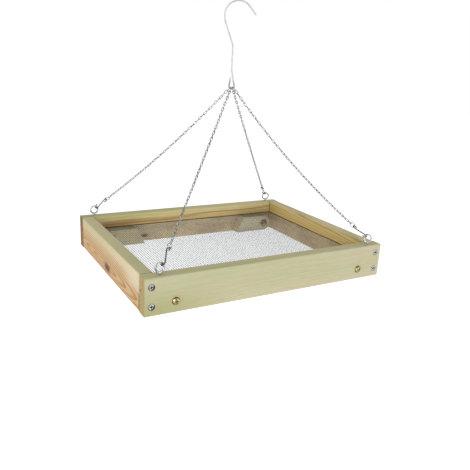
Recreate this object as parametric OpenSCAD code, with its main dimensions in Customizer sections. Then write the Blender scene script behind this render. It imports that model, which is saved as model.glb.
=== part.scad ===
// Hanging bird feeder tray: four timber rails round a wire mesh floor, folding legs under it,
// and four chains that gather at a ring on a wire hook.
// Frame: origin at the middle of the tray's underside, X along the long rails, Y to the back, Z up.

/* [Tray] */
// Length of the front and back rails
tray_length = 336; // [300:1:400]
// Depth of the tray, front face to back face
tray_depth = 267; // [240:1:340]
// Height of the rails
rail_height = 45; // [42:0.5:60]
// Thickness of the rails
rail_thickness = 16; // [14:0.5:20]
// Radius of the planed edges along the rails
edge_radius = 1.5; // [1:0.1:2.5]

/* [Mesh floor] */
// Height of the middle of the saw cut that holds the mesh
mesh_height = 27; // [26.9:0.1:32]
// Depth of the saw cut in each rail
groove_depth = 5; // [3:0.5:6]
// Height of the saw cut
groove_width = 1.6; // [1.4:0.1:2.2]
// Diameter of the mesh wire
mesh_wire = 0.45; // [0.4:0.05:0.9]
// Spacing of the mesh wires
mesh_pitch = 3.2; // [3:0.1:5]
// Gap between the edge of the mesh and the bottom of the saw cut
mesh_edge_gap = 0.3; // [0.2:0.1:1]

/* [Rail screws] */
// Diameter of the wood screws
screw_diameter = 4; // [3:0.5:5]
// Length of the wood screws
screw_length = 40; // [32:1:50]
// Diameter of the screw heads
screw_head = 7.4; // [6:0.2:9]
// Height of the lower screw above the underside
screw_low = 11.2; // [8:0.2:13]
// Height of the upper screw above the underside
screw_high = 34; // [32:0.5:36]
// Gap round a screw in its hole
screw_gap = 0.05; // [0.02:0.01:0.1]

/* [Screw eyes] */
// Distance of an eye from the end of the long rails
eye_from_end = 19.5; // [17:0.5:26]
// Distance of an eye from the outer face of its rail
eye_from_face = 6; // [5:0.5:7]
// Wire diameter of the eye
eye_wire = 2.2; // [1.8:0.1:2.6]
// Outside diameter of the eye's ring
eye_ring = 12.8; // [12:0.1:15]
// Height of the middle of the ring above the rail
eye_rise = 8.3; // [8:0.5:12]
// Length of the eye's screw in the wood
eye_depth = 15; // [10:1:17]
// Turn of the front left eye about its screw
eye_turn_fl = 10; // [-40:1:40]
// Turn of the front right eye about its screw
eye_turn_fr = -24; // [-40:1:40]
// Turn of the back left eye about its screw
eye_turn_bl = 6; // [-40:1:40]
// Turn of the back right eye about its screw
eye_turn_br = -18; // [-40:1:40]

/* [Hanging chains] */
// Wire diameter of the chain links
link_wire = 0.9; // [0.7:0.1:1.1]
// Radius of the link's round ends, to the middle of the wire
link_bend = 1.2; // [1.15:0.05:1.6]
// Spacing of the links that the real chain is sold with
link_pitch = 5; // [4.5:0.1:7]
// Sag of the front left chain in the middle, below a straight line
sag_fl = 0.5; // [0.5:0.5:14]
// Sag of the front right chain
sag_fr = 8.5; // [0.5:0.5:14]
// Sag of the back left chain
sag_bl = 5.5; // [0.5:0.5:14]
// Sag of the back right chain
sag_br = 1; // [0.5:0.5:14]
// Gap where two pieces of the chain hang in each other
hang_gap = 0.1; // [0.05:0.05:0.2]
// Wire diameter of the small rings at the ends of each chain
joiner_wire = 0.9; // [0.8:0.1:1]
// Radius of the upper small ring, to the middle of the wire
joiner_radius = 3.2; // [3:0.1:3.6]
// Radius of the lower small ring, to the middle of the wire
low_joiner_radius = 3.2; // [2.8:0.1:4]
// Wire diameter of the S hooks
s_hook_wire = 1.6; // [1.3:0.1:1.7]
// Length of an S hook, from wire middle to wire middle
s_hook_length = 22.5; // [18:0.5:30]
// Radius of the S hook's upper bend, to the middle of the wire
s_hook_upper = 2.3; // [2.1:0.1:3]
// Radius of the S hook's lower bend, to the middle of the wire
s_hook_lower = 2.9; // [2.7:0.1:4]
// Turn of the front left S hook about its chain
slant_fl = 0; // [-40:1:40]
// Turn of the front right S hook about its chain
slant_fr = 30; // [-40:1:40]
// Turn of the back left S hook about its chain
slant_bl = 15; // [-40:1:40]
// Turn of the back right S hook about its chain
slant_br = 28; // [-40:1:40]

/* [Hook] */
// Height of the hook's lowest wire above the tray's underside
hang_height = 235.6; // [200:0.1:320]
// Wire diameter of the hook
hook_wire = 1.9; // [1.6:0.1:2.4]
// Angle of the hook's plane to the long rails
hook_turn = -30; // [-90:5:90]
// Bend radius of the loop that holds the chains
loop_radius = 3.3; // [3.2:0.1:5]
// Place of the front left chain on the loop, as an angle from its lowest point
loop_fl = -15; // [-24:1:-8]
// Place of the front right chain on the loop
loop_fr = 65; // [60:1:68]
// Place of the back left chain on the loop
loop_bl = -50; // [-56:1:-49]
// Place of the back right chain on the loop
loop_br = 30; // [18:1:31]
// Length of the straight shank of the hook
shank_length = 28; // [25:1:60]
// Bend radius of the bow that goes over a branch or a bracket
bow_radius = 17.5; // [14:0.5:30]
// Length of the straight tip past the bow
tip_length = 12.5; // [6:1:20]

/* [Legs] */
// Width of a leg, seen from the front
leg_width = 24; // [20:0.5:24]
// Thickness of a leg
leg_thickness = 16; // [12:0.5:18]
// Height that the opened legs give under the rails
leg_lift = 26.5; // [20:0.5:40]
// Lean of an opened leg from upright
leg_lean = 27; // [20:1:27]
// Height of the leg bolts above the underside
bolt_height = 13.9; // [13:0.1:14]
// Distance of a leg bolt from the end of the long rails
bolt_from_end = 36.5; // [36:0.5:45]
// Gap between a leg and its rail, and between a leg and its washer
leg_gap = 0.2; // [0.1:0.05:0.3]

/* [Leg bolts] */
// Diameter of the bolts
bolt_diameter = 5; // [4:0.5:6]
// Gap round a bolt in the hole of its leg
pivot_gap = 0.05; // [0.02:0.01:0.1]
// Diameter of the domed bolt head
bolt_head = 9.6; // [8:0.2:12]
// Height of the domed bolt head
bolt_head_height = 3.2; // [2.4:0.2:4]
// Length of the bolt's thread past the nut
bolt_tail = 2.4; // [1:0.2:4]
// Outside diameter of the washers
washer_diameter = 12; // [10:0.5:15]
// Thickness of the washers
washer_thickness = 1; // [0.8:0.1:1.6]
// Width of the nuts across their flats
nut_width = 8; // [7:0.5:10]
// Height of the nuts
nut_height = 4; // [3:0.5:5]

/* [Hidden] */
$fn = 48;

// Colours
pine_green = "#bdbd93";
pine_cream = "#cfb98c";
zinc = "#c3c6c8";
yellow_zinc = "#c9b768";

// Corners, as signs along X and Y
FL = [-1, -1];
FR = [1, -1];
BL = [-1, 1];
BR = [1, 1];

// Tray
half_length = tray_length / 2;
half_depth = tray_depth / 2;
inner_length = tray_length - 2 * rail_thickness;
inner_depth = tray_depth - 2 * rail_thickness;
screw_x = half_length - rail_thickness / 2;

// Wire joints
wire_lap = 0.05;
wire_step = 0.02;

// Mesh
mesh_span_x = inner_length + 2 * (groove_depth - mesh_edge_gap);
mesh_span_y = inner_depth + 2 * (groove_depth - mesh_edge_gap);
mesh_count = floor(inner_length / mesh_pitch) - 1;
mesh_hem = groove_depth - mesh_edge_gap - 0.5;

// Screw eyes
eye_x = half_length - eye_from_end;
eye_y = half_depth - eye_from_face;
eye_radius = (eye_ring - eye_wire) / 2;
eye_z = rail_height + eye_rise;
eye_shank = eye_wire + 0.3;

// Legs and their bolts
bolt_x = half_length - bolt_from_end;
leg_inner_y = half_depth - rail_thickness - leg_gap;
leg_reach = (bolt_height + leg_lift) / cos(leg_lean);
leg_skew = leg_width / 2 * tan(leg_lean);
grip = rail_thickness + 2 * leg_gap + leg_thickness + washer_thickness;
bolt_length = grip + nut_height + bolt_tail;

// Hook
loop_z = hang_height + loop_radius;
hook_side = [cos(hook_turn), sin(hook_turn), 0];
hook_back = [-sin(hook_turn), cos(hook_turn), 0];
loop_side_lean = 12;
loop_side_length = 19;
loop_tail_lean = 7;
loop_tail_length = 10.4;
neck_radius = 6;
slant_angle = 21.4;
slant_radius = 9;
slant_length = 26;
shoulder_radius = 25;
shoulder_length = 0.6;
bow_turn = 140;

// Vector help
UP = [0, 0, 1];
function unit(v) = v / norm(v);
function along(v, w) = (v * w) * w;
function flat_part(v, n) = v - along(v, n);

// A chain hangs as a shallow arc in an upright plane, flatter at its lower end
function sag(c) = c == FL ? sag_fl : c == FR ? sag_fr : c == BL ? sag_bl : sag_br;
function sag_way(v) = unit(flat_part(-UP, unit(v)));
function sag_radius(c, v) = (v * v / 4 + sag(c) * sag(c)) / (2 * sag(c));
function sag_angle(c, v) = asin(norm(v) / 2 / sag_radius(c, v));
function sagged(c, v, end) = cos(sag_angle(c, v)) * unit(v) - end * sin(sag_angle(c, v)) * sag_way(v);

// Where each chain hangs in the hook's loop, as an angle from the loop's lowest point
function eye_centre(c) = [c[0] * eye_x, c[1] * eye_y, eye_z];
function loop_angle(c) = c == FL ? loop_fl : c == FR ? loop_fr : c == BL ? loop_bl : loop_br;
function loop_wire(c) =
  [0, 0, loop_z] + loop_radius * (sin(loop_angle(c)) * hook_side - cos(loop_angle(c)) * UP);
function loop_tangent(c) = cos(loop_angle(c)) * hook_side + sin(loop_angle(c)) * UP;
function loop_pull(c) = unit(flat_part(sagged(c, loop_wire(c) - eye_centre(c), 1), loop_tangent(c)));
loop_overlap = (joiner_wire + hook_wire) / 2 + hang_gap;
function loop_hold(c) = loop_wire(c) + loop_overlap * loop_pull(c);

// Where each S hook takes hold of its screw eye
function eye_turn(c) = c == FL ? eye_turn_fl : c == FR ? eye_turn_fr : c == BL ? eye_turn_bl : eye_turn_br;
function eye_normal(c) = [-sin(eye_turn(c)), cos(eye_turn(c)), 0];
function eye_pull(c) = unit(flat_part(sagged(c, loop_hold(c) - eye_centre(c), -1), eye_normal(c)));
function eye_hold(c) = eye_centre(c) + eye_radius * eye_pull(c);

// The line of each chain, from its eye up to the loop, and the places along it
function chord(c) = loop_hold(c) - eye_hold(c);
function line_length(c) = sag_radius(c, chord(c)) * 2 * sag_angle(c, chord(c)) * PI / 180;
function line_point(c, place) =
  let (r = sag_radius(c, chord(c)), a = place / r * 180 / PI - sag_angle(c, chord(c)))
  (eye_hold(c) + loop_hold(c)) / 2
    + r * sin(a) * unit(chord(c)) + (r * cos(a) - r + sag(c)) * sag_way(chord(c));
function line_way(c, place, length) = unit(line_point(c, place + length) - line_point(c, place));
eye_overlap = (eye_wire + s_hook_wire) / 2 + hang_gap;
s_hook_overlap = (s_hook_wire + joiner_wire) / 2 + hang_gap;
joiner_overlap = (link_wire + joiner_wire) / 2 + hang_gap;
link_overlap = link_wire + hang_gap;
low_joiner_start = s_hook_length - eye_overlap - s_hook_overlap;
chain_start = low_joiner_start + 2 * low_joiner_radius - joiner_overlap;
function joiner_start(c) = line_length(c) - 2 * joiner_radius;
function links_span(c) = joiner_start(c) + joiner_overlap - chain_start;
link_count = round((links_span(FL) - link_overlap) / link_pitch);
function link_step(c) = (links_span(c) - link_overlap) / link_count;

// The turn of each S hook about its chain
function slant(c) = c == FL ? slant_fl : c == FR ? slant_fr : c == BL ? slant_bl : slant_br;
function hook_across(c) =
  let (u = line_way(c, 0, s_hook_length), z = unit(flat_part(cross(eye_pull(c), eye_normal(c)), u)))
  cos(slant(c)) * z + sin(slant(c)) * cross(u, z);

// The small twist along a chain that brings its last link square to the upper small ring
function joiner_angle(c) =
  let (
    u = line_way(c, joiner_start(c), 2 * joiner_radius),
    z = unit(flat_part(hook_across(c), u)), t = unit(flat_part(loop_tangent(c), u))
  )
  atan2(-(t * cross(z, u)), t * z);
function half_turn_rest(a) = a - 180 * round(a / 180);
function chain_twist(c) = half_turn_rest(joiner_angle(c) - 90 * link_count);

// Puts a child that is drawn with its length along X and its normal along Z onto a line in space
module on_line(start, direction, normal) {
  z = unit(flat_part(normal, direction));
  y = cross(z, direction);
  multmatrix([
    [direction[0], y[0], z[0], start[0]],
    [direction[1], y[1], z[1], start[1]],
    [direction[2], y[2], z[2], start[2]],
    [0, 0, 0, 1]
  ]) children();
}

// Puts it on a chain's line instead, from one place over a length
module on_chain(c, place, length, normal) {
  on_line(line_point(c, place), line_way(c, place, length), normal) children();
}

// Wire help: a round bend in the XY plane, and a straight rod between two points
module bend(radius, wire, from, to) {
  rotate([0, 0, from])
    rotate_extrude(angle = to - from)
      translate([radius, 0])
        circle(d = wire);
}

// Rods run a little way over the ends of the bends, which are a shade thinner.
module rod(from, to, wire) {
  v = to - from;
  flat = norm([v[0], v[1]]);
  translate(from - wire_lap * unit(v))
    rotate([0, atan2(flat, v[2]), atan2(v[1], v[0])])
      cylinder(d = wire, h = norm(v) + 2 * wire_lap);
}

// Timber: a planed section with eased edges, drawn along X
module planed_section(width, height) {
  r = edge_radius;
  translate([r, 0]) square([width - 2 * r, height]);
  translate([0, r]) square([width, height - 2 * r]);
  for (x = [r, width - r], y = [r, height - r])
    translate([x, y]) circle(r = r);
}

module timber(length) {
  translate([-length / 2, 0, 0])
    rotate([90, 0, 90])
      linear_extrude(length)
        translate([-rail_thickness, 0])
          planed_section(rail_thickness, rail_height);
}

// The saw cut in a rail whose outer face is at Y = 0 and whose inner face is at -rail_thickness
module saw_cut(length) {
  translate([-length / 2 - 1, -rail_thickness - 1, mesh_height - groove_width / 2])
    cube([length + 2, groove_depth + 1, groove_width]);
}

module screw_hole(depth) {
  rotate([90, 0, 0])
    cylinder(d = screw_diameter + 2 * screw_gap, h = depth);
}

module head_sink() {
  rotate([90, 0, 0])
    translate([0, 0, -screw_gap])
      cylinder(
        d1 = screw_head + 4 * screw_gap, d2 = screw_diameter + 2 * screw_gap,
        h = (screw_head - screw_diameter) / 2 + screw_gap
      );
}

// A long rail, drawn with its outer face at Y = 0 as the back rail
module long_rail() {
  color(pine_green)
    difference() {
      timber(tray_length);
      saw_cut(tray_length);
      for (side = [-1, 1]) {
        for (z = [screw_low, screw_high])
          translate([side * screw_x, 0, z]) {
            translate([0, 1, 0]) screw_hole(rail_thickness + 2);
            head_sink();
          }
        translate([side * bolt_x, 1, bolt_height])
          rotate([90, 0, 0])
            cylinder(d = bolt_diameter + 2 * pivot_gap, h = rail_thickness + 2);
        translate([side * eye_x, -eye_from_face, rail_height - eye_depth - screw_gap])
          cylinder(d = eye_shank + 2 * screw_gap, h = eye_depth + 1);
      }
    }
}

module back_rail() {
  translate([0, half_depth, 0]) long_rail();
}

module front_rail() {
  rotate([0, 0, 180]) back_rail();
}

// A side rail, drawn with its outer face to the right
module right_rail() {
  hole_depth = screw_length - rail_thickness + 1;
  color(pine_cream)
    difference() {
      translate([half_length, 0, 0])
        rotate([0, 0, -90]) timber(inner_depth);
      translate([half_length, 0, 0])
        rotate([0, 0, -90]) saw_cut(inner_depth);
      for (z = [screw_low, screw_high])
        for (turn = [0, 180])
          rotate([0, 0, turn])
            translate([turn == 0 ? screw_x : -screw_x, inner_depth / 2 + 1, z])
              screw_hole(hole_depth + 1);
    }
}

module left_rail() {
  rotate([0, 0, 180]) right_rail();
}

// Wire mesh: the wires that run front to back, and the hem that sits in the saw cuts
module mesh_floor() {
  color(zinc)
    translate([0, 0, mesh_height]) {
      for (i = [0 : mesh_count])
        translate([(i - mesh_count / 2) * mesh_pitch, 0, 0])
          cube([mesh_wire, mesh_span_y - mesh_hem, mesh_wire], center = true);
      difference() {
        cube([mesh_span_x, mesh_span_y, mesh_wire], center = true);
        cube([mesh_span_x - 2 * mesh_hem, mesh_span_y - 2 * mesh_hem, mesh_wire + 1], center = true);
      }
    }
}

// Wood screw with a countersunk head, drawn along -Y with its head at Y = 0
module wood_screw() {
  head_depth = (screw_head - screw_diameter) / 2;
  tip = screw_diameter;
  rotate([90, 0, 0])
    rotate_extrude()
      polygon([
        [0, 0], [screw_head / 2, 0], [screw_diameter / 2, head_depth],
        [screw_diameter / 2, screw_length - tip], [0, screw_length]
      ]);
}

module cross_recess(size, depth) {
  for (turn = [0, 90])
    rotate([0, turn, 0])
      cube([size, 2 * depth, size / 4], center = true);
}

module rail_screws() {
  color(zinc)
    for (turn = [0, 180], x = [-screw_x, screw_x], z = [screw_low, screw_high])
      rotate([0, 0, turn])
        translate([x, half_depth, z])
          difference() {
            wood_screw();
            cross_recess(screw_head * 0.55, 1.4);
          }
}

// Screw eye: a closed ring on a pointed shank
module screw_eye(c) {
  tip = eye_shank;
  shank_top = eye_rise - eye_radius;
  color(zinc)
    translate(eye_centre(c))
      rotate([0, 0, eye_turn(c)]) {
        rotate([90, 0, 0]) bend(eye_radius, eye_wire, 0, 360);
        translate([0, 0, -eye_rise - eye_depth])
          rotate_extrude()
            polygon([
              [0, 0], [eye_shank / 2, tip],
              [eye_shank / 2, eye_depth + shank_top], [0, eye_depth + shank_top]
            ]);
      }
}

// S hook, drawn along X: the lower bend's lowest wire is at the origin
module s_hook_shape() {
  low = [s_hook_lower, 0, 0];
  high = [s_hook_length - s_hook_upper, 0, 0];
  lean = asin((s_hook_lower + s_hook_upper) / norm(high - low));
  side = [sin(lean), -cos(lean), 0];
  rod(low + s_hook_lower * side, high - s_hook_upper * side, s_hook_wire);
  translate(low) bend(s_hook_lower, s_hook_wire - wire_step, 70, 270 + lean);
  translate(high) bend(s_hook_upper, s_hook_wire - wire_step, -140, 90 + lean);
}

module s_hook(c) {
  color(zinc)
    on_chain(c, -eye_overlap, s_hook_length, hook_across(c))
      s_hook_shape();
}

// Chain: oval links, each turned a quarter from the last, and a small ring at each end
module link(length) {
  straight = length - 2 * link_bend;
  for (end = [0, 1])
    translate([link_bend + end * straight, 0, 0])
      bend(link_bend, link_wire, 90 - 180 * end, 270 - 180 * end);
  for (side = [-1, 1])
    translate([link_bend, side * link_bend, 0])
      rotate([0, 90, 0])
        cylinder(d = link_wire, h = straight);
}

module small_ring(c, place, radius, normal) {
  on_chain(c, place, 2 * radius, normal)
    translate([radius, 0, 0])
      bend(radius, joiner_wire, 0, 360);
}

module chain(c) {
  step = link_step(c);
  twist = chain_twist(c) / (link_count - 1);
  color(zinc) {
    for (i = [0 : link_count - 1])
      on_chain(c, chain_start + i * step, step + link_overlap, hook_across(c))
        rotate([90 * i + twist * i, 0, 0])
          link(step + link_overlap);
    small_ring(
      c, low_joiner_start, low_joiner_radius,
      cross(line_way(c, low_joiner_start, 2 * low_joiner_radius), hook_across(c))
    );
    small_ring(c, joiner_start(c), joiner_radius, loop_tangent(c));
  }
}

// Hook: one wire, bent from the loop's lowest point up each side.
// A pose is a place in the hook's plane and the heading of the wire there.
function ahead(p, length) = [p[0] + length * cos(p[2]), p[1] + length * sin(p[2]), p[2]];
function turned(p, radius, angle) =
  let (s = sign(angle), a = p[2] + angle)
  [p[0] + s * radius * (sin(a) - sin(p[2])), p[1] - s * radius * (cos(a) - cos(p[2])), a];

module wire_ahead(p, length) {
  translate([p[0], p[1], 0])
    rotate([0, 90, p[2]])
      translate([0, 0, -wire_lap])
        cylinder(d = hook_wire, h = length + 2 * wire_lap);
}

module wire_turned(p, radius, angle) {
  s = sign(angle);
  translate([p[0] - s * radius * sin(p[2]), p[1] + s * radius * cos(p[2]), 0])
    rotate([0, 0, p[2] - s * 90])
      bend(radius, hook_wire - wire_step, min(0, angle), max(0, angle));
}

module hook() {
  base = [0, 0, 0];
  loop_end = turned(base, loop_radius, 90 + loop_side_lean);
  side_end = ahead(loop_end, loop_side_length);
  neck_end = turned(side_end, neck_radius, -loop_side_lean);
  shank_end = ahead(neck_end, shank_length);
  slant_start = turned(shank_end, slant_radius, slant_angle);
  slant_end = ahead(slant_start, slant_length);
  shoulder_end = turned(slant_end, shoulder_radius, -slant_angle);
  bow_start = ahead(shoulder_end, shoulder_length);
  bow_end = turned(bow_start, bow_radius, -bow_turn);
  tail_start = turned([0, 0, 180], loop_radius, -90 - loop_tail_lean);
  color(zinc)
    translate([0, 0, hang_height])
      rotate([0, 0, hook_turn])
        rotate([90, 0, 0]) {
          translate([0, loop_radius, 0])
            bend(loop_radius, hook_wire - wire_step, -180 - loop_tail_lean, loop_side_lean);
          wire_ahead(loop_end, loop_side_length);
          wire_turned(side_end, neck_radius, -loop_side_lean);
          wire_ahead(neck_end, shank_length);
          wire_turned(shank_end, slant_radius, slant_angle);
          wire_ahead(slant_start, slant_length);
          wire_turned(slant_end, shoulder_radius, -slant_angle);
          wire_ahead(shoulder_end, shoulder_length);
          wire_turned(bow_start, bow_radius, -bow_turn);
          wire_ahead(bow_end, tip_length);
          wire_ahead(tail_start, loop_tail_length);
        }
}

// Leg, drawn folded at the back right: pivot at the origin, foot towards -X, thickness along -Y
module leg_shape() {
  rotate([90, 0, 0])
    linear_extrude(leg_thickness)
      difference() {
        union() {
          circle(d = leg_width);
          polygon([
            [0, -leg_width / 2], [0, leg_width / 2],
            [-leg_reach + leg_skew, leg_width / 2], [-leg_reach - leg_skew, -leg_width / 2]
          ]);
        }
        circle(d = bolt_diameter + 2 * pivot_gap);
      }
}

// Places a piece that is drawn for the back right corner at any corner
module at_corner(c) {
  scale([c[0], c[1], 1]) children();
}

module leg(c) {
  color(pine_green)
    at_corner(c)
      translate([bolt_x, leg_inner_y, bolt_height])
        leg_shape();
}

// Leg bolt, drawn along -Y with the rail's outer face at Y = 0
module leg_bolt(c) {
  dome = (bolt_head * bolt_head / 4 + bolt_head_height * bolt_head_height) / (2 * bolt_head_height);
  color(yellow_zinc)
    at_corner(c)
      translate([bolt_x, half_depth, bolt_height])
        difference() {
          union() {
            rotate([90, 0, 0]) cylinder(d = bolt_diameter, h = bolt_length);
            rotate([-90, 0, 0])
              rotate_extrude()
                intersection() {
                  translate([0, bolt_head_height - dome]) circle(r = dome);
                  square([bolt_head, bolt_head_height + 1]);
                }
          }
          translate([0, bolt_head_height, 0]) cross_recess(bolt_head * 0.45, 1.8);
        }
}

module leg_washer(c) {
  color(yellow_zinc)
    at_corner(c)
      translate([bolt_x, leg_inner_y - leg_thickness - leg_gap, bolt_height])
        rotate([90, 0, 0])
          difference() {
            cylinder(d = washer_diameter, h = washer_thickness);
            translate([0, 0, -1])
              cylinder(d = bolt_diameter + 2 * pivot_gap, h = washer_thickness + 2);
          }
}

module leg_nut(c) {
  color(yellow_zinc)
    at_corner(c)
      translate([bolt_x, half_depth - grip, bolt_height])
        rotate([90, 0, 0])
          difference() {
            cylinder(d = nut_width / cos(30), h = nut_height, $fn = 6);
            translate([0, 0, -1])
              cylinder(d = bolt_diameter + 2 * pivot_gap, h = nut_height + 2);
          }
}

front_rail();
back_rail();
left_rail();
right_rail();
mesh_floor();
rail_screws();
screw_eye(FL);  // screw_eye_fl
screw_eye(FR);  // screw_eye_fr
screw_eye(BL);  // screw_eye_bl
screw_eye(BR);  // screw_eye_br
s_hook(FL);  // s_hook_fl
s_hook(FR);  // s_hook_fr
s_hook(BL);  // s_hook_bl
s_hook(BR);  // s_hook_br
chain(FL);  // chain_fl
chain(FR);  // chain_fr
chain(BL);  // chain_bl
chain(BR);  // chain_br
hook();
leg(FL);  // leg_fl
leg(FR);  // leg_fr
leg(BL);  // leg_bl
leg(BR);  // leg_br
leg_bolt(FL);  // leg_bolt_fl
leg_bolt(FR);  // leg_bolt_fr
leg_bolt(BL);  // leg_bolt_bl
leg_bolt(BR);  // leg_bolt_br
leg_washer(FL);  // leg_washer_fl
leg_washer(FR);  // leg_washer_fr
leg_washer(BL);  // leg_washer_bl
leg_washer(BR);  // leg_washer_br
leg_nut(FL);  // leg_nut_fl
leg_nut(FR);  // leg_nut_fr
leg_nut(BL);  // leg_nut_bl
leg_nut(BR);  // leg_nut_br
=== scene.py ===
# A hanging platform bird feeder: treated pine tray, woven wire floor, four chains and a wire hook.
from math import asin, atan2, cos, degrees, pi, radians, sin

import bpy
from mathutils import Matrix, Vector


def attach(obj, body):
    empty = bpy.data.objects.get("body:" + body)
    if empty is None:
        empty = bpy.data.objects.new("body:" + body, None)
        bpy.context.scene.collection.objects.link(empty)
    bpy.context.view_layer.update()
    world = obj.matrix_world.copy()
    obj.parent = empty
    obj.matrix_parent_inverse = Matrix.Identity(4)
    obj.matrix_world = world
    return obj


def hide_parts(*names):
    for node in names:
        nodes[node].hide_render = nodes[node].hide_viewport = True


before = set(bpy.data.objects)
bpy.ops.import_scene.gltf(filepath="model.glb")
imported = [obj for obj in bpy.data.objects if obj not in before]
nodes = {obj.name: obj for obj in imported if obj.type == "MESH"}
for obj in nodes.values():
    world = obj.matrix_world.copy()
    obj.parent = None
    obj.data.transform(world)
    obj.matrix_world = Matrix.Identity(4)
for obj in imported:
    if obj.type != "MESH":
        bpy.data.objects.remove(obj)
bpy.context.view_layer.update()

# Sizes in millimetres, as in the part's source
MM = 0.001
TRAY_LENGTH = 336
TRAY_DEPTH = 267
RAIL_THICKNESS = 16
RAIL_HEIGHT = 45
MESH_HEIGHT = 27
MESH_WIRE = 0.45
MESH_PITCH = 3.2
MESH_EDGE_GAP = 0.3
GROOVE_DEPTH = 5
SCREW_LOW = 11.2
SCREW_HIGH = 34
BOLT_FROM_END = 36.5
BOLT_HEIGHT = 13.9
EYE_FROM_END = 19.5
EYE_FROM_FACE = 6
EYE_RISE = 8.3
EYE_WIRE = 2.2
EYE_RING = 12.8
LINK_WIRE = 0.9
LINK_BEND = 1.2
LINK_PITCH = 5
HANG_GAP = 0.1
JOINER_WIRE = 0.9
JOINER_RADIUS = 3.2
LOW_JOINER_RADIUS = 3.2
S_HOOK_WIRE = 1.6
S_HOOK_LENGTH = 22.5
HANG_HEIGHT = 235.6
HOOK_WIRE = 1.9
HOOK_TURN = -30
LOOP_RADIUS = 3.3

# The corners: on which side and end of the tray, the angles of eye, ring and S hook, and the chain's sag
CORNERS = {
    "fl": {"side": -1, "end": -1, "eye_turn": 10, "loop_angle": -15, "slant": 0, "sag": 0.5},
    "fr": {"side": 1, "end": -1, "eye_turn": -24, "loop_angle": 65, "slant": 30, "sag": 8.5},
    "bl": {"side": -1, "end": 1, "eye_turn": 6, "loop_angle": -50, "slant": 15, "sag": 5.5},
    "br": {"side": 1, "end": 1, "eye_turn": -18, "loop_angle": 30, "slant": 28, "sag": 1},
}
UP = Vector((0, 0, 1))

# The rails' faces and the mesh in metres, from the middle of the tray's underside
OUTER_X = TRAY_LENGTH / 2 * MM
OUTER_Y = TRAY_DEPTH / 2 * MM
INNER_X = (TRAY_LENGTH / 2 - RAIL_THICKNESS) * MM
INNER_Y = (TRAY_DEPTH / 2 - RAIL_THICKNESS) * MM
MESH_Z = MESH_HEIGHT * MM


# Camera, at the photograph's viewing angle
CAMERA_PLACE = Vector((-0.35437, -0.63395, 0.26227))
CAMERA_HEADING = 0.53044
CAMERA_DIP = 0.30083
CAMERA_ROLL = 0.05472
CAMERA_LENS = 41.30
SENSOR_WIDTH = 36


def add_camera():
    heading = Vector((
        sin(CAMERA_HEADING) * cos(CAMERA_DIP),
        cos(CAMERA_HEADING) * cos(CAMERA_DIP),
        -sin(CAMERA_DIP),
    ))
    level = Vector((cos(CAMERA_HEADING), -sin(CAMERA_HEADING), 0))
    rise = level.cross(heading)
    right = cos(CAMERA_ROLL) * level + sin(CAMERA_ROLL) * rise
    above = -sin(CAMERA_ROLL) * level + cos(CAMERA_ROLL) * rise
    data = bpy.data.cameras.new("camera")
    data.sensor_fit = "HORIZONTAL"
    data.sensor_width = SENSOR_WIDTH
    data.lens = CAMERA_LENS
    data.clip_start = 0.01
    data.clip_end = 50
    camera = bpy.data.objects.new("camera", data)
    turn = Matrix((right, above, -heading)).transposed()
    camera.matrix_world = Matrix.Translation(CAMERA_PLACE) @ turn.to_4x4()
    bpy.context.scene.collection.objects.link(camera)
    bpy.context.scene.camera = camera


# Light and floor, in metres
LAMP_TARGET = Vector((0, 0, 0.05))
SKY_STOPS = ((0.12, (1, 1, 1, 1)), (0.75, (0.35, 0.36, 0.38, 1)))
SKY_STRENGTH = 1.0
FLOOR_RADIUS = 9
FLOOR_HEIGHT = -0.32
FLOOR_TONE = (0.94, 0.94, 0.94, 1)
FLOOR_GLOW = 0.6


def add_sky():
    """Soft light from all round, white at the horizon and greyer overhead."""
    scene = bpy.context.scene
    scene.view_settings.view_transform = "Standard"
    world = bpy.data.worlds.new("studio")
    scene.world = world
    world.use_nodes = True
    tree = world.node_tree
    place = tree.nodes.new("ShaderNodeTexCoord")
    split = tree.nodes.new("ShaderNodeSeparateXYZ")
    ramp = tree.nodes.new("ShaderNodeValToRGB")
    tree.links.new(place.outputs["Generated"], split.inputs[0])
    tree.links.new(split.outputs["Z"], ramp.inputs[0])
    for point, (position, colour) in zip(ramp.color_ramp.elements, SKY_STOPS):
        point.position = position
        point.color = colour
    background = tree.nodes["Background"]
    tree.links.new(ramp.outputs[0], background.inputs["Color"])
    background.inputs["Strength"].default_value = SKY_STRENGTH


def area_light(name, place, size, power, tint):
    data = bpy.data.lights.new(name, "AREA")
    data.shape = "DISK"
    data.size = size
    data.energy = power
    data.color = tint
    lamp = bpy.data.objects.new(name, data)
    lamp.location = place
    lamp.rotation_euler = (LAMP_TARGET - Vector(place)).to_track_quat("-Z", "Y").to_euler()
    bpy.context.scene.collection.objects.link(lamp)


def add_lamps():
    area_light("key", (-1.5, -1.1, 0.55), size=0.9, power=9, tint=(1, 0.97, 0.92))
    area_light("fill", (0.9, -1.8, 0.5), size=1.2, power=5, tint=(0.98, 1, 0.98))
    area_light("top", (0.1, 0.3, 1.9), size=1.4, power=3, tint=(1, 1, 1))


def add_floor():
    bpy.ops.mesh.primitive_circle_add(
        vertices=96, radius=FLOOR_RADIUS, fill_type="TRIFAN", location=(0, 0, FLOOR_HEIGHT)
    )
    floor = bpy.context.object
    floor.name = "floor"
    paint = Shader("floor_white", roughness=0.9)
    paint.put("Base Color", FLOOR_TONE)
    paint.put("Emission Color", (1, 1, 1, 1))
    paint.put("Emission Strength", FLOOR_GLOW)
    floor.data.materials.append(paint.material)


# Materials
def srgb(red, green, blue):
    """A colour in the screen's numbers from 0 to 255, as Blender's linear colour."""
    parts = [part / 255 for part in (red, green, blue)]
    return tuple(p / 12.92 if p <= 0.04045 else ((p + 0.055) / 1.055) ** 2.4 for p in parts) + (1,)


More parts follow.
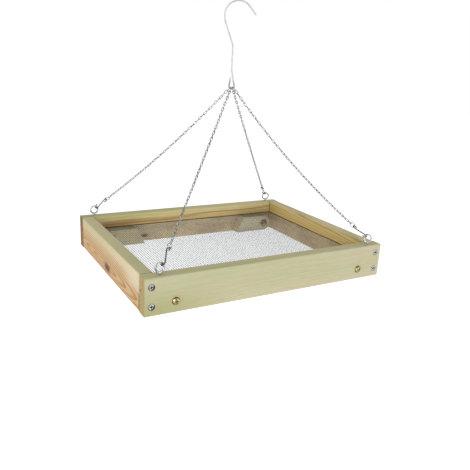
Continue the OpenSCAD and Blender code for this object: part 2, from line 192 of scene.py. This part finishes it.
class Shader:
    """One material's node tree."""

    def __init__(self, name, metallic=0.0, roughness=0.6):
        self.material = bpy.data.materials.new(name)
        self.material.use_nodes = True
        self.tree = self.material.node_tree
        self.tree.nodes.clear()
        self.surface = self.add("ShaderNodeBsdfPrincipled")
        output = self.add("ShaderNodeOutputMaterial")
        self.tree.links.new(self.surface.outputs[0], output.inputs["Surface"])
        self.put("Metallic", metallic)
        self.put("Roughness", roughness)

    def add(self, kind, **settings):
        made = self.tree.nodes.new(kind)
        for name, value in settings.items():
            setattr(made, name, value)
        return made

    def feed(self, socket, value):
        if isinstance(value, bpy.types.NodeSocket):
            self.tree.links.new(value, socket)
        else:
            socket.default_value = value

    def put(self, socket, value):
        self.feed(self.surface.inputs[socket], value)

    def place(self):
        return self.add("ShaderNodeTexCoord").outputs["Object"]

    def facing(self):
        return self.add("ShaderNodeTexCoord").outputs["Normal"]

    def split(self, vector):
        made = self.add("ShaderNodeSeparateXYZ")
        self.feed(made.inputs[0], vector)
        return tuple(made.outputs)

    def join(self, x, y, z):
        made = self.add("ShaderNodeCombineXYZ")
        for socket, value in zip(made.inputs, (x, y, z)):
            self.feed(socket, value)
        return made.outputs[0]

    def math(self, operation, a, b=0.0):
        made = self.add("ShaderNodeMath", operation=operation)
        self.feed(made.inputs[0], a)
        self.feed(made.inputs[1], b)
        return made.outputs[0]

    def combine(self, operation, values):
        """All the values joined by one operation, from left to right."""
        result = values[0]
        for value in values[1:]:
            result = self.math(operation, result, value)
        return result

    def plus(self, *values):
        return self.combine("ADD", values)

    def minus(self, a, b):
        return self.math("SUBTRACT", a, b)

    def times(self, *values):
        return self.combine("MULTIPLY", values)

    def absolute(self, value):
        return self.math("ABSOLUTE", value)

    def length(self, *sides):
        """The length of a vector with these parts."""
        return self.math("SQRT", self.plus(*(self.times(side, side) for side in sides)))

    def noise(self, vector, scale, detail, roughness=0.5):
        made = self.add("ShaderNodeTexNoise")
        self.feed(made.inputs["Vector"], vector)
        made.inputs["Scale"].default_value = scale
        made.inputs["Detail"].default_value = detail
        made.inputs["Roughness"].default_value = roughness
        return made.outputs["Fac"]

    def pattern(self, vector, scale, detail, roughness=0.5, shift=(0, 0, 0)):
        """Noise with a scale of its own in each direction."""
        made = self.add("ShaderNodeMapping")
        self.feed(made.inputs["Vector"], vector)
        made.inputs["Scale"].default_value = scale
        made.inputs["Location"].default_value = shift
        return self.noise(made.outputs[0], 1, detail, roughness)

    def ramp(self, value, stops):
        """Greys between the stops, each a position and a shade."""
        made = self.add("ShaderNodeValToRGB")
        self.feed(made.inputs[0], value)
        points = made.color_ramp.elements
        while len(points) < len(stops):
            points.new(1)
        for point, (position, shade) in zip(points, stops):
            point.position = position
            point.color = (shade, shade, shade, 1)
        return made.outputs["Color"]

    def limits(self, value, low, high, to_low=0.0, to_high=1.0):
        """A smooth step from to_low, where the value is low, to to_high, where it is high."""
        made = self.add("ShaderNodeMapRange", interpolation_type="SMOOTHSTEP")
        for socket, number in zip(made.inputs, (value, low, high, to_low, to_high)):
            self.feed(socket, number)
        return made.outputs[0]

    def mix(self, amount, a, b):
        """From colour a to colour b. Sockets 6 and 7 and output 2 are the node's colours."""
        made = self.add("ShaderNodeMix", data_type="RGBA")
        self.feed(made.inputs[0], amount)
        self.feed(made.inputs[6], a)
        self.feed(made.inputs[7], b)
        return made.outputs[2]

    def bump(self, height, strength, distance):
        made = self.add("ShaderNodeBump")
        made.inputs["Strength"].default_value = strength
        made.inputs["Distance"].default_value = distance
        self.feed(made.inputs["Height"], height)
        self.put("Normal", made.outputs[0])


def blob(s, point, centre, size):
    """1 at the centre of a soft ellipsoid, falling to 0 at its edge."""
    squares = [
        s.math("POWER", s.math("DIVIDE", s.minus(p, middle), half), 2)
        for p, middle, half in zip(point, centre, size)
    ]
    return s.limits(s.math("SQRT", s.plus(*squares)), 1, 0)


# Scales of the pine's patterns, along the grain, across it and up
WANDER_SCALE = (3.5, 22, 22)
RIPPLE_SCALE = (12, 90, 90)
PATCH_SCALE = (4, 26, 34)
CLOUD_SCALE = (9, 16, 16)
FIBRE_SCALE = (60, 1500, 1500)
FLECK_SCALE = (25, 500, 500)
END_SPECK_SCALE = (1500, 1500, 1500)

# The ripple of the rings, as a share of their wander
RIPPLE_SHARE = 0.14

# How dark the wood is through one growth ring, from its early to its late wood
RING_STOPS = [(0.0, 0.25), (0.08, 0.0), (0.45, 0.08), (0.8, 0.75), (0.93, 1.0), (1.0, 0.25)]

# A knot's halo, heart and core, as shares of its size
KNOT_HALO = 1.2
KNOT_HEART = 0.78
KNOT_CORE = 0.45


def late_wood(s, look, point, grain, along_y, knots):
    """How dark the growth rings are at a point, from 0 to 1. They lie round the tree's heart line."""
    x, y, z = point
    u, v = (y, x) if along_y else (x, y)
    heart_u, heart_v, heart_z = look["heart"]
    across = s.minus(v, heart_v)
    along = s.times(s.minus(u, heart_u), look["tilt"])
    drop = s.minus(z, heart_z)
    wander = s.pattern(grain, WANDER_SCALE, 2, shift=look["shift"])
    ripple = s.pattern(grain, RIPPLE_SCALE, 2, shift=look["shift"])
    reach = s.plus(
        s.length(along, drop, across),
        s.times(s.minus(wander, 0.5), look["wander"]),
        s.times(s.minus(ripple, 0.5), look["wander"] * RIPPLE_SHARE),
    )
    for centre, size, push in knots:
        reach = s.plus(reach, s.times(blob(s, point, centre, size), push))
    ring = s.math("FRACT", s.math("DIVIDE", reach, look["ring"]))
    return s.times(s.ramp(ring, RING_STOPS), s.limits(reach, *look["fade"]))


def add_knot(s, look, point, centre, size, base):
    """A dark knot with a darker core, in a halo of late wood."""
    halo, heart, core = (
        blob(s, point, centre, tuple(part * share for part in size))
        for share in (KNOT_HALO, KNOT_HEART, KNOT_CORE)
    )
    base = s.mix(s.times(halo, 0.6), base, look["late"])
    base = s.mix(s.math("MINIMUM", s.times(heart, 1.8), 0.92), base, look["knot"])
    return s.mix(s.times(core, 0.7), base, look["knot_core"])


def wood(name, look, along_y=False, knots=(), marks=()):
    """Planed, green-treated pine, with its rings, end grain, marks and knots.

    A knot is its centre, its reach along each axis and how far it pushes the rings, in metres.
    """
    s = Shader(name)
    point = s.split(s.place())
    x, y, z = point
    grain = s.join(y, x, z) if along_y else s.join(x, y, z)
    shift = look["shift"]
    late = late_wood(s, look, point, grain, along_y, knots)

    # Tone: pale and green patches, ring lines, fine fibres
    patch = s.pattern(grain, PATCH_SCALE, 3, shift=shift)
    cloud = s.pattern(grain, CLOUD_SCALE, 2, shift=shift)
    fleck = s.pattern(grain, FLECK_SCALE, 3, 0.6, shift=shift)
    fibre = s.pattern(grain, FIBRE_SCALE, 4, 0.65)
    base = s.mix(s.limits(patch, 0.32, 0.68), look["pale"], look["green"])
    base = s.mix(s.limits(z, *look["low_band"]), base, look["low"])
    base = s.mix(s.limits(cloud, 0.5, 0.75, 0, 0.3), base, look["cloud"])
    base = s.mix(s.times(late, look["contrast"]), base, look["late"])
    base = s.mix(s.limits(fleck, 0.55, 0.8, 0, look["fleck"]), base, look["late"])
    base = s.mix(s.limits(fibre, 0.35, 0.75, 0, 0.2), base, look["dark"])

    # End grain is darker and shows the rings as arcs
    normal = s.split(s.facing())
    end = s.absolute(normal[1] if along_y else normal[0])
    speck = s.pattern(grain, END_SPECK_SCALE, 2)
    end_tone = s.mix(s.limits(speck, 0.3, 0.75), look["end"], look["end_dark"])
    end_tone = s.mix(s.times(late, 0.4), end_tone, look["end_dark"])
    base = s.mix(s.limits(end, 0.7, 0.9), base, end_tone)

    for mark in marks:
        amount, colour = mark(s, x, y, z, late)
        base = s.mix(amount, base, colour)
    for centre, size, _ in knots:
        base = add_knot(s, look, point, centre, size, base)

    # Painted light: the top faces get a tone of their own, set by which way each face points
    top_tone = s.mix(s.limits(patch, 0.35, 0.7), look["top_tone"], look["top_green"])
    top_tone = s.mix(s.times(late, 0.25), top_tone, look["late"])
    base = s.mix(s.limits(normal[2], 0.5, 0.95, 0, look["top"]), base, top_tone)

    s.put("Base Color", base)
    s.put("Roughness", s.limits(fibre, 0.3, 0.8, 0.55, 0.78))
    s.put("Specular IOR Level", 0.3)
    s.bump(s.plus(s.times(fibre, 0.7), s.times(late, 0.35)), 0.35, 0.0004)
    return s.material


# The painted shade that undersides and recesses darken to
UNDERSIDE_SHADE = (0.02, 0.018, 0.015, 1)
RECESS_TONE = (0.012, 0.01, 0.009, 1)


def metal(name, tone, dark, roughness, scale=900, metallic=1.0, under=0.35, recess=None):
    """Plated wire: cloudy tone, fine draw marks, painted shade on its undersides, as strong as under,
    and the dark places of a recess.
    """
    s = Shader(name, metallic=metallic)
    point = s.place()
    cloud = s.noise(point, scale * 0.35, 3)
    speck = s.noise(point, scale * 3, 2, 0.6)
    base = s.mix(s.limits(cloud, 0.35, 0.7), tone, dark)
    base = s.mix(s.limits(speck, 0.62, 0.8, 0, 0.35), base, dark)
    # Painted shade on the faces that point down
    low = s.limits(s.split(s.facing())[2], 0.1, -0.8, 0, under)
    base = s.mix(low, base, UNDERSIDE_SHADE)
    if recess:
        base = s.mix(recess(s, *s.split(point)), base, RECESS_TONE)
    s.put("Base Color", base)
    s.put("Roughness", s.limits(speck, 0.3, 0.8, roughness, roughness + 0.18))
    s.bump(speck, 0.2, 0.00008)
    return s.material


def left_face(s, x):
    """1 on the tray's outer left face, 0 inside the wood."""
    return s.limits(x, 0.0008 - OUTER_X, 0.0002 - OUTER_X)


# Marks on the boards, at places in metres. Each is asked with a point and its late wood, and gives its
# strength there and its colour.
def low_streak(s, x, y, z, late):
    """A brown stain along the inner face of the back rail, above the mesh, wider at its left end."""
    inner = s.limits(y, INNER_Y + 0.001, INNER_Y + 0.0003)
    bend = s.times(s.math("SINE", s.times(x, 45)), 0.0012)
    middle = s.plus(s.times(x, 0.026), 0.0342, bend)
    half = s.limits(x, -0.15, 0.06, 0.0048, 0.0016)
    off = s.math("DIVIDE", s.absolute(s.minus(z, middle)), half)
    band = s.times(s.limits(off, 1.3, 0.4), s.limits(z, MESH_Z + 0.0002, MESH_Z + 0.0015))
    amount = s.plus(s.times(late, 0.3), 0.42)
    return s.times(inner, band, amount), srgb(150, 100, 52)


def dark_end(s, x, y, z, late):
    """The stained lower part of the back rail's left end."""
    return s.times(left_face(s, x), s.limits(z, 0.036, 0.031, 0, 0.9)), srgb(134, 88, 46)


def end_seam(s, x, y, z, late):
    """The dark line where the left rail meets the front rail, open at its lower part."""
    near = s.limits(y, 0.0035 - INNER_Y, 0.0013 - INNER_Y)
    return s.times(near, s.limits(z, 0.026, 0.012, 0.15, 0.9)), srgb(70, 50, 32)


def corner_line(s, x, y, z, late):
    """The shaded inner corners where two rails meet."""
    near_side = s.limits(s.absolute(x), INNER_X - 0.0015, INNER_X + 0.0001)
    near_end = s.limits(s.absolute(y), INNER_Y - 0.0015, INNER_Y + 0.0001)
    return s.times(near_side, near_end, 0.75), srgb(96, 74, 44)


def under_mesh(s, x, y, z, late):
    """The inner faces below the mesh are duller, with darker streaks."""
    side = s.limits(s.absolute(x), INNER_X + 0.0007, INNER_X + 0.0002)
    end = s.limits(s.absolute(y), INNER_Y + 0.0007, INNER_Y + 0.0002)
    below = s.limits(z, MESH_Z + 0.0005, MESH_Z - 0.0008)
    round_the_tray = s.join(s.plus(x, y), 0, z)
    streak = s.pattern(round_the_tray, (26, 1, 420), 3, 0.6)
    stain = s.pattern(round_the_tray, (22, 1, 60), 2, shift=(3, 1, 2))
    tone = s.mix(s.limits(stain, 0.35, 0.65), srgb(228, 206, 164), srgb(196, 176, 138))
    tone = s.mix(s.limits(streak, 0.5, 0.75, 0, 0.5), tone, srgb(128, 96, 70))
    return s.times(side, end, below, 0.8), tone


def far_green(s, x, y, z, late):
    """The far half of the left rail's upper edge took more of the green treatment."""
    upper = s.times(s.limits(z, 0.026, 0.043), s.limits(y, -0.06, 0.06))
    return s.times(left_face(s, x), upper, 0.6), srgb(178, 172, 122)


def near_pale(s, x, y, z, late):
    """The near part of the left rail is paler at mid height."""
    middle = s.times(s.limits(z, 0.017, 0.026), s.limits(y, -0.055, -0.095))
    return s.times(left_face(s, x), middle, 0.65), srgb(210, 196, 164)


def low_corner(s, x, y, z, late):
    """The front board's lower left corner is greener and darker."""
    front = s.limits(y, 0.0007 - OUTER_Y, 0.0001 - OUTER_Y)
    corner = s.times(s.limits(x, -0.04, -0.165), s.limits(z, 0.04, 0.002))
    return s.times(front, corner, 0.85), srgb(158, 158, 108)


def from_screw(s, x, z):
    """How far a point lies from the nearest rail screw's middle line, across and up."""
    away = s.minus(s.absolute(x), (TRAY_LENGTH / 2 - RAIL_THICKNESS / 2) * MM)
    upper = s.math("GREATER_THAN", z, (SCREW_LOW + SCREW_HIGH) / 2 * MM)
    middle = s.plus(s.times(upper, (SCREW_HIGH - SCREW_LOW) * MM), SCREW_LOW * MM)
    return s.times(away, s.math("SIGN", x)), s.minus(z, middle)


def screw_sink_shade(s, x, y, z, late):
    """Painted shade: a dark rim where each screw head sinks into the wood, stronger at the left end."""
    rim = s.limits(s.length(*from_screw(s, x, z)), 0.0046, 0.0038)
    return s.times(rim, s.limits(x, 0.05, -0.05, 0.45, 0.85)), srgb(84, 76, 56)


# Dark places on the metals, from 0 to 1 at a point
def screw_shade(s, x, y, z):
    """Painted shade in the recess of a flush screw head, on the shaded side of its dished rim and round
    its edge.
    """
    sunk = s.limits(s.absolute(y), OUTER_Y - 0.0001, OUTER_Y - 0.0004)
    across, up = from_screw(s, x, z)
    reach = s.length(across, up)
    side = s.minus(s.times(across, 0.8), s.times(up, 0.6))
    ring = s.times(s.limits(reach, 0.0018, 0.0027), s.limits(side, 0.0004, 0.0018))
    shade = s.times(ring, s.limits(x, 0.05, -0.05, 0.35, 0.95))
    edge = s.limits(reach, 0.0029, 0.0036, 0, 0.6)
    return s.math("MAXIMUM", sunk, s.math("MAXIMUM", shade, edge))


def dome_shade(s, x, y, z):
    """Painted shade inside the cross recess of a domed bolt head, and a dark rim of painted shade at its
    edge.
    """
    away_x = s.minus(s.absolute(x), (TRAY_LENGTH / 2 - BOLT_FROM_END) * MM)
    away_z = s.minus(z, BOLT_HEIGHT * MM)
    reach = s.length(away_x, away_z)
    out = s.absolute(y)
    cross = s.times(
        s.limits(out, OUTER_Y + 0.0028, OUTER_Y + 0.0024), s.limits(reach, 0.0028, 0.0024)
    )
    rim = s.limits(reach, 0.0034, 0.0043, 0, 0.7)
    return s.times(s.limits(out, OUTER_Y, OUTER_Y + 0.0002), s.math("MAXIMUM", cross, rim))


def hook_tone(s, x, y, z):
    """The hook's loop and its tail are darker than the long stem."""
    top = (HANG_HEIGHT + 4 * LOOP_RADIUS) * MM
    return s.limits(z, top, top - 0.006, 0, 0.45)


# The look that every board starts from. Pale and green are the tones of its patches, and late is the
# tone of its ring lines. Low band and fade say where something starts and where it is full, in metres:
# the low tone's heights, and the distances from the heart line at which the rings show.
PINE = {
    "pale": srgb(191, 183, 153),
    "green": srgb(180, 182, 144),
    "cloud": srgb(190, 178, 140),
    "low": srgb(193, 185, 154),
    "low_band": (0.02, 0.0),
    "late": srgb(172, 150, 104),
    "contrast": 0.35,
    "fade": (1.0, 0.5),
    "dark": srgb(140, 128, 90),
    "fleck": 0.25,
    "end": srgb(180, 162, 108),
    "end_dark": srgb(138, 112, 68),
    # How strongly the top faces take their painted light tones
    "top": 0.85,
    "top_tone": srgb(210, 200, 152),
    "top_green": srgb(190, 190, 140),
    "knot": srgb(104, 70, 56),
    "knot_core": srgb(70, 42, 38),
}


def pine(**changes):
    """A board's look. Its heart line has a place along the grain, across it and up, and a tilt."""
    return {**PINE, **changes}


def front_board():
    look = pine(
        heart=(0, -0.09, 0.06), tilt=0.02, ring=0.0042, wander=0.016, shift=(0.3, 0.1, 0.7),
        contrast=0.14, fleck=0.14,
    )
    return wood("pine_front", look, marks=(low_corner, under_mesh, screw_sink_shade))


def back_board():
    look = pine(
        heart=(0, 0.10, -0.01), tilt=-0.015, ring=0.0036, wander=0.012, shift=(2.3, 4.1, 1.7),
        contrast=0.3, low_band=(0.04, 0.03),
        pale=srgb(212, 198, 144), green=srgb(200, 192, 134),
        late=srgb(172, 134, 78), low=srgb(196, 172, 116),
    )
    knot = ((-0.075, INNER_Y, 0.009), (0.010, 0.004, 0.005), 0.002)
    marks = (low_streak, under_mesh, corner_line, dark_end, screw_sink_shade)
    return wood("pine_back", look, knots=[knot], marks=marks)


def left_board():
    look = pine(
        heart=(0.03, -OUTER_X, 0.0125), tilt=0.085, ring=0.0031, wander=0.004, shift=(5.1, 2.2, 0.4),
        contrast=0.95, fade=(0.026, 0.019), low_band=(0.034, 0.02),
        pale=srgb(208, 192, 156), green=srgb(202, 190, 150), cloud=srgb(206, 178, 132),
        late=srgb(162, 104, 56), low=srgb(198, 166, 118),
    )
    knot = ((-OUTER_X, 0.001, 0.0105), (0.03, 0.019, 0.0105), 0.005)
    marks = (far_green, near_pale, under_mesh, end_seam)
    return wood("pine_left", look, along_y=True, knots=[knot], marks=marks)


def right_board():
    look = pine(
        heart=(0, 0.157, 0.004), tilt=0.01, ring=0.0044, wander=0.03, shift=(1.1, 7.2, 3.4),
        contrast=0.75, low_band=(0.05, 0.03),
        pale=srgb(212, 194, 130), green=srgb(198, 182, 116), cloud=srgb(206, 176, 108),
        late=srgb(158, 116, 50), low=srgb(202, 176, 112),
        top_tone=srgb(222, 208, 162), top_green=srgb(206, 200, 152),
    )
    return wood("pine_right", look, along_y=True, marks=(under_mesh, corner_line))


def leg_board(corner, number):
    """A folded leg's wood. The back right leg is lighter than the others: painted light that makes up
    for the shade falling on it.
    """
    tones = {"pale": srgb(216, 202, 158), "green": srgb(198, 192, 146)}
    if corner == "br":
        tones = {
            "pale": srgb(244, 234, 200), "green": srgb(234, 224, 188),
            "end": srgb(240, 226, 188), "end_dark": srgb(212, 192, 152),
        }
    look = pine(
        heart=(0, 0.07 + 0.02 * number, 0.05), tilt=0.03, ring=0.0033, wander=0.01,
        shift=(number * 3.1, 1.3, 0.2), contrast=0.4, **tones,
    )
    return wood("pine_leg_" + corner, look)


def dress(node, material):
    for slot in nodes[node].material_slots:
        slot.material = material


def paint_wood():
    dress("front_rail", front_board())
    dress("back_rail", back_board())
    dress("left_rail", left_board())
    dress("right_rail", right_board())
    for number, corner in enumerate(CORNERS):
        dress("leg_" + corner, leg_board(corner, number))


def paint_metal():
    bright = metal("bright_wire", srgb(224, 225, 227), srgb(128, 129, 132), 0.24)
    dull = metal("dull_wire", srgb(132, 132, 134), srgb(70, 70, 74), 0.34)
    stem = metal(
        "hook_wire", srgb(206, 207, 208), srgb(184, 185, 186), 0.4,
        scale=500, metallic=0.35, under=0.4, recess=hook_tone,
    )
    zinc = metal(
        "zinc_screw", srgb(200, 202, 204), srgb(120, 122, 124), 0.34, recess=screw_shade
    )
    yellow = metal(
        "yellow_zinc", srgb(232, 214, 150), srgb(168, 144, 84), 0.16, under=0.75, recess=dome_shade
    )
    # Painted shade: a darker zinc for the nuts and washers, which sit under the mesh
    shaded_nuts = metal("shaded_zinc", srgb(188, 168, 136), srgb(116, 96, 82), 0.34, under=0.6)
    for corner in CORNERS:
        dress("screw_eye_" + corner, bright)
        dress("s_hook_" + corner, dull)
        dress("leg_bolt_" + corner, yellow)
        dress("leg_washer_" + corner, shaded_nuts)
        dress("leg_nut_" + corner, shaded_nuts)
    dress("hook", stem)
    dress("rail_screws", zinc)


# Shapes
def flattened(vector, normal):
    """The part of the vector that lies across the normal, with a length of 1."""
    return (vector - vector.dot(normal) * normal).normalized()


def directions(path, closed):
    """The way that a wire runs at each of its points."""
    count = len(path)
    ways = []
    for i in range(count):
        before = i - 1 if closed else max(i - 1, 0)
        after = (i + 1) % count if closed else min(i + 1, count - 1)
        ways.append((path[after] - path[before]).normalized())
    return ways


class Shape:
    """Wire tubes gathered into one mesh."""

    def __init__(self):
        self.points = []
        self.faces = []

    def tube(self, path, wire, sides, closed=False, start_normal=None):
        """A round wire along the path, in millimetres."""
        count = len(path)
        ways = directions(path, closed)
        normal = start_normal or ways[0].orthogonal()
        first = len(self.points)
        for at, way in zip(path, ways):
            normal = flattened(normal, way)
            across = way.cross(normal)
            for j in range(sides):
                angle = 2 * pi * j / sides
                out = cos(angle) * normal + sin(angle) * across
                self.points.append((at + wire / 2 * out) * MM)
        for i in range(count if closed else count - 1):
            here, there = first + i * sides, first + (i + 1) % count * sides
            for j in range(sides):
                k = (j + 1) % sides
                self.faces.append((here + j, here + k, there + k, there + j))
        if not closed:
            self.faces.append(tuple(first + j for j in reversed(range(sides))))
            self.faces.append(tuple(first + (count - 1) * sides + j for j in range(sides)))

    def piece(self, name, material, body, slot, *replaced):
        """The mesh as a piece on a body. The sides of its wires are smooth, and their cut ends flat."""
        mesh = bpy.data.meshes.new(name)
        mesh.from_pydata(self.points, [], self.faces)
        mesh.materials.append(material)
        mesh.polygons.foreach_set("use_smooth", [len(face) == 4 for face in self.faces])
        mesh.validate()
        made = bpy.data.objects.new(name, mesh)
        bpy.context.scene.collection.objects.link(made)
        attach(made, body)
        if replaced:
            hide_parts(*replaced)


# The mesh floor. Its wires from side to side are finer than those from front to back.
FINE_WIRE = 0.3
MESH_WIRE_SIDES = 5
# Half the straight stretch of a wire at each crossing, as a share of the pitch
CRIMP_FLAT = 0.22


def wire_place(number, count):
    """Where one of a row of parallel wires lies, from the tray's middle."""
    return (number - (count - 1) / 2) * MESH_PITCH


def woven_wire(shape, wire, length, cross_count, along_y, offset, phase):
    """One crimped wire of the mesh: it passes over and under the wires that it crosses."""
    stops = [-length / 2]
    lifts = [0]
    for i in range(cross_count):
        middle = wire_place(i, cross_count)
        lift = MESH_WIRE / 2 if (i + phase) % 2 else -MESH_WIRE / 2
        stops += [middle - CRIMP_FLAT * MESH_PITCH, middle + CRIMP_FLAT * MESH_PITCH]
        lifts += [lift, lift]
    stops.append(length / 2)
    lifts.append(0)
    path = []
    for stop, lift in zip(stops, lifts):
        x, y = (offset, stop) if along_y else (stop, offset)
        path.append(Vector((x, y, MESH_HEIGHT + lift)))
    shape.tube(path, wire, MESH_WIRE_SIDES, start_normal=UP)


def add_mesh_floor():
    # Painted shade: the wires from front to back get a far darker tone than the finer wires from side to
    # side
    steel = metal("mesh_wire", srgb(54, 54, 52), srgb(34, 34, 33), 0.55, scale=600)
    fine_steel = metal("fine_wire", srgb(174, 174, 172), srgb(142, 142, 140), 0.5, scale=600)
    in_grooves = 2 * (GROOVE_DEPTH - MESH_EDGE_GAP)
    span_x = TRAY_LENGTH - 2 * RAIL_THICKNESS
    span_y = TRAY_DEPTH - 2 * RAIL_THICKNESS
    count_x = int(span_x / MESH_PITCH)
    count_y = int(span_y / MESH_PITCH)
    lengthwise, crosswise = Shape(), Shape()
    for i in range(count_x):
        offset = wire_place(i, count_x)
        woven_wire(crosswise, MESH_WIRE, span_y + in_grooves, count_y, True, offset, i)
    for j in range(count_y):
        offset = wire_place(j, count_y)
        woven_wire(lengthwise, FINE_WIRE, span_x + in_grooves, count_x, False, offset, j + 1)
    crosswise.piece("mesh_wires_front_to_back", steel, "tray", "mesh_wire", "mesh_floor")
    lengthwise.piece("mesh_wires_side_to_side", fine_steel, "tray", "mesh_wire")


# The lines of the chains, worked out as in the part's source
HOOK_SIDE = Vector((cos(radians(HOOK_TURN)), sin(radians(HOOK_TURN)), 0))
LOOP_CENTRE = Vector((0, 0, HANG_HEIGHT + LOOP_RADIUS))
EYE_RADIUS = (EYE_RING - EYE_WIRE) / 2
EYE_OVERLAP = (EYE_WIRE + S_HOOK_WIRE) / 2 + HANG_GAP
S_HOOK_OVERLAP = (S_HOOK_WIRE + JOINER_WIRE) / 2 + HANG_GAP
JOINER_OVERLAP = (LINK_WIRE + JOINER_WIRE) / 2 + HANG_GAP
LOOP_OVERLAP = (JOINER_WIRE + HOOK_WIRE) / 2 + HANG_GAP
LINK_OVERLAP = LINK_WIRE + HANG_GAP
LOW_JOINER_START = S_HOOK_LENGTH - EYE_OVERLAP - S_HOOK_OVERLAP
CHAIN_START = LOW_JOINER_START + 2 * LOW_JOINER_RADIUS - JOINER_OVERLAP

# How finely the wires of links and rings are drawn
LINK_BEND_POINTS = 9
LINK_SIDES = 8
RING_POINTS = 40
RING_SIDES = 10


class ChainLine:
    """Where one chain and its small rings hang: a shallow arc in an upright plane, from eye to hook."""

    def __init__(self, corner):
        facts = CORNERS[corner]
        self.sag = facts["sag"]
        angle, turn, slant = (radians(facts[key]) for key in ("loop_angle", "eye_turn", "slant"))
        self.tangent = cos(angle) * HOOK_SIDE + sin(angle) * UP
        wire = LOOP_CENTRE + LOOP_RADIUS * (sin(angle) * HOOK_SIDE - cos(angle) * UP)
        eye = Vector((
            facts["side"] * (TRAY_LENGTH / 2 - EYE_FROM_END),
            facts["end"] * (TRAY_DEPTH / 2 - EYE_FROM_FACE),
            RAIL_HEIGHT + EYE_RISE,
        ))
        normal = Vector((-sin(turn), cos(turn), 0))
        self.high = wire + LOOP_OVERLAP * flattened(self.end_way(wire - eye, 1), self.tangent)
        pull = flattened(self.end_way(self.high - eye, -1), normal)
        self.low = eye + EYE_RADIUS * pull
        self.chord = self.high - self.low
        self.radius, self.half = self.bend(self.chord)
        self.high_ring = 2 * self.radius * self.half - 2 * JOINER_RADIUS
        way = self.way(0, S_HOOK_LENGTH)
        flat = flattened(pull.cross(normal), way)
        self.across = cos(slant) * flat + sin(slant) * way.cross(flat)

    def bend(self, chord):
        """The radius of the arc over a chord, and half the angle that it turns through."""
        radius = (chord.length ** 2 / 4 + self.sag ** 2) / (2 * self.sag)
        return radius, asin(chord.length / 2 / radius)

    def end_way(self, chord, end):
        """The arc's direction at the chord's far end, with 1, or at its near end, with -1."""
        half = self.bend(chord)[1]
        along = chord.normalized()
        return cos(half) * along - end * sin(half) * flattened(-UP, along)

    def point(self, place):
        """The point of the arc at a place, in millimetres from its lower end."""
        angle = place / self.radius - self.half
        along = self.chord.normalized()
        dip = self.radius * (cos(angle) - 1) + self.sag
        middle = (self.low + self.high) / 2
        return middle + self.radius * sin(angle) * along + dip * flattened(-UP, along)

    def way(self, place, length):
        return (self.point(place + length) - self.point(place)).normalized()

    def put(self, place, length, toward):
        """Turns points drawn along X, with their flat side facing Z, into place on the line."""
        foot, way = self.point(place), self.way(place, length)
        facing = flattened(toward, way)
        side = facing.cross(way)
        return lambda p: foot + p[0] * way + p[1] * side + p[2] * facing

    def links_span(self):
        """The length that the links fill, between the two small rings."""
        return self.high_ring + JOINER_OVERLAP - CHAIN_START


def link_path(length, turn):
    """An oval link's middle line, along X from 0, turned about X."""
    straight = length - 2 * LINK_BEND
    flat = []
    for middle, start in ((LINK_BEND, 90), (LINK_BEND + straight, -90)):
        for i in range(LINK_BEND_POINTS):
            angle = radians(start + 180 * i / (LINK_BEND_POINTS - 1))
            flat.append((middle + LINK_BEND * cos(angle), LINK_BEND * sin(angle)))
    return [(a, b * cos(turn), b * sin(turn)) for a, b in flat]


def whole_twist(line, count):
    """The twist in degrees, over all the links, that brings the last one square to the upper ring."""
    way = line.way(line.high_ring, 2 * JOINER_RADIUS)
    facing, tangent = flattened(line.across, way), flattened(line.tangent, way)
    side = facing.cross(way)
    rest = (degrees(atan2(-tangent.dot(side), tangent.dot(facing))) - 90 * count) % 180
    return rest if rest <= 90 else rest - 180


def add_links(shape, line, count):
    """The links, each a quarter turn on from the last."""
    step = (line.links_span() - LINK_OVERLAP) / count
    twist = whole_twist(line, count)
    for i in range(count):
        turn = radians(90 * i + twist * i / (count - 1))
        put = line.put(CHAIN_START + i * step, step + LINK_OVERLAP, line.across)
        path = [put(p) for p in link_path(step + LINK_OVERLAP, turn)]
        shape.tube(path, LINK_WIRE, LINK_SIDES, closed=True)


def add_ring(shape, line, place, radius, toward):
    """A small round ring at one end of the chain."""
    turns = [2 * pi * i / RING_POINTS for i in range(RING_POINTS)]
    put = line.put(place, 2 * radius, toward)
    path = [put((radius * (1 + cos(turn)), radius * sin(turn), 0)) for turn in turns]
    shape.tube(path, JOINER_WIRE, RING_SIDES, closed=True)


def add_chains():
    steel = metal("chain_wire", srgb(202, 201, 198), srgb(108, 107, 105), 0.3)
    count = round((ChainLine("fl").links_span() - LINK_OVERLAP) / LINK_PITCH)
    for corner in CORNERS:
        line = ChainLine(corner)
        shape = Shape()
        add_links(shape, line, count)
        low_way = line.way(LOW_JOINER_START, 2 * LOW_JOINER_RADIUS)
        add_ring(shape, line, LOW_JOINER_START, LOW_JOINER_RADIUS, low_way.cross(line.across))
        add_ring(shape, line, line.high_ring, JOINER_RADIUS, line.tangent)
        shape.piece("chain_links_" + corner, steel, "tray", "chain_wire", "chain_" + corner)


add_camera()
add_sky()
add_lamps()
add_floor()
paint_wood()
paint_metal()
add_mesh_floor()
add_chains()
